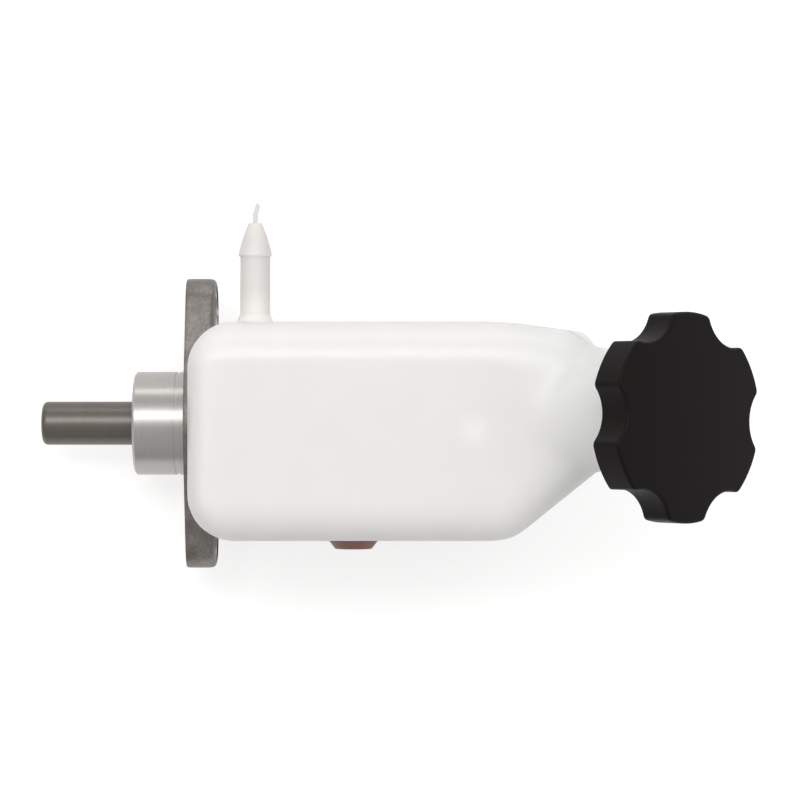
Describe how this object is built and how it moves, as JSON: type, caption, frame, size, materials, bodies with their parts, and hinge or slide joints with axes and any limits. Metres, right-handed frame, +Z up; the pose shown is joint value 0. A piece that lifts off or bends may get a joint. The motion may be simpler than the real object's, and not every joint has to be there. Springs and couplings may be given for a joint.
{
  "type": "brake master cylinder",
  "caption": "Tandem brake master cylinder with a flange, twin outlets, and a translucent fluid reservoir with a leaning filler neck and a lobed screw cap.",
  "frame": {"origin": "on the bore's axis, in the flange's mounting face, midway between the two stud holes", "axes": "+X along the bore from the pushrod end to the closed end; +Z up, to the reservoir; +Y to the side with the feed nipple, so that the outlets face -Y"},
  "size_m": [0.255, 0.1321, 0.143],
  "materials": {
    "cast_aluminium": "fine cast skin, turned bright on the spigot",
    "anodised_aluminium": "hard anodised, satin",
    "spring_steel": "drawn wire",
    "zinc_plated_steel": "zinc plated",
    "black_rubber": "moulded, matte",
    "guide_plastic": "machined",
    "milky_plastic": "moulded, translucent, waxy",
    "strainer_plastic": "moulded",
    "black_plastic": "moulded, fine grain",
    "brown_plastic": "moulded, matte",
    "float_foam": "closed-cell foam",
    "magnet_ferrite": "sintered",
    "contact_brass": "bright"
  },
  "bodies": {
    "housing": {"cylinder_body": "cast_aluminium", "secondary_spring": "spring_steel", "stop_washer": "zinc_plated_steel", "retaining_ring": "zinc_plated_steel", "reservoir_pin": "zinc_plated_steel", "primary_pressure_seal": "black_rubber", "separator_seal": "black_rubber", "secondary_pressure_seal": "black_rubber", "guide_o_ring": "black_rubber", "rod_seal": "black_rubber", "rear_inlet_grommet": "black_rubber", "front_inlet_grommet": "black_rubber", "guide_bush": "guide_plastic", "reservoir_lower": "milky_plastic", "reservoir_upper": "milky_plastic", "filler_strainer": "strainer_plastic", "level_switch": "black_plastic", "switch_contacts": "contact_brass"},
    "primary_piston": {"primary_piston": "anodised_aluminium", "primary_spring_screw": "zinc_plated_steel"},
    "secondary_piston": {"secondary_piston": "anodised_aluminium", "primary_spring_cup": "zinc_plated_steel", "primary_spring": "spring_steel"},
    "cap_gasket": {"cap_gasket": "black_rubber"},
    "filler_cap": {"filler_cap": "black_plastic"},
    "rear_outlet_cap": {"rear_outlet_cap": "brown_plastic"},
    "front_outlet_cap": {"front_outlet_cap": "brown_plastic"},
    "level_float": {"level_float": "float_foam", "float_magnet": "magnet_ferrite"}
  },
  "joints": [
    {"name": "primary_slide", "type": "slide", "parent": "housing", "child": "primary_piston", "axis": [1, 0, 0], "range_m": [0, 0.032], "stiffness_N_per_m": 3000, "springref_m": -0.03, "deforming": ["primary_spring"]},
    {"name": "secondary_slide", "type": "slide", "parent": "housing", "child": "secondary_piston", "axis": [1, 0, 0], "range_m": [0, 0.016], "deforming": ["secondary_spring"]},
    {"name": "cap_lift", "type": "slide", "parent": "housing", "child": "cap_gasket", "axis": [0.6626, 0, 0.749], "range_m": [0, 0.0061]},
    {"name": "cap_turn", "type": "hinge", "parent": "cap_gasket", "child": "filler_cap", "pos_m": [0.1686, 0.00265, 0.088], "axis": [0.6626, 0, 0.749], "range_deg": [0, 540]},
    {"name": "rear_cap_pull", "type": "slide", "parent": "housing", "child": "rear_outlet_cap", "axis": [0, -1, 0], "range_m": [0, 0.05]},
    {"name": "front_cap_pull", "type": "slide", "parent": "housing", "child": "front_outlet_cap", "axis": [0, -1, 0], "range_m": [0, 0.05]},
    {"name": "float_rise", "type": "slide", "parent": "housing", "child": "level_float", "axis": [0, 0, 1], "range_m": [0, 0.014]}
  ],
  "couplings": [
    {"joint": "secondary_slide", "follows": "primary_slide", "ratio": 0.5},
    {"joint": "cap_lift", "follows": "cap_turn", "m_per_rad": 0.00063662}
  ]
}
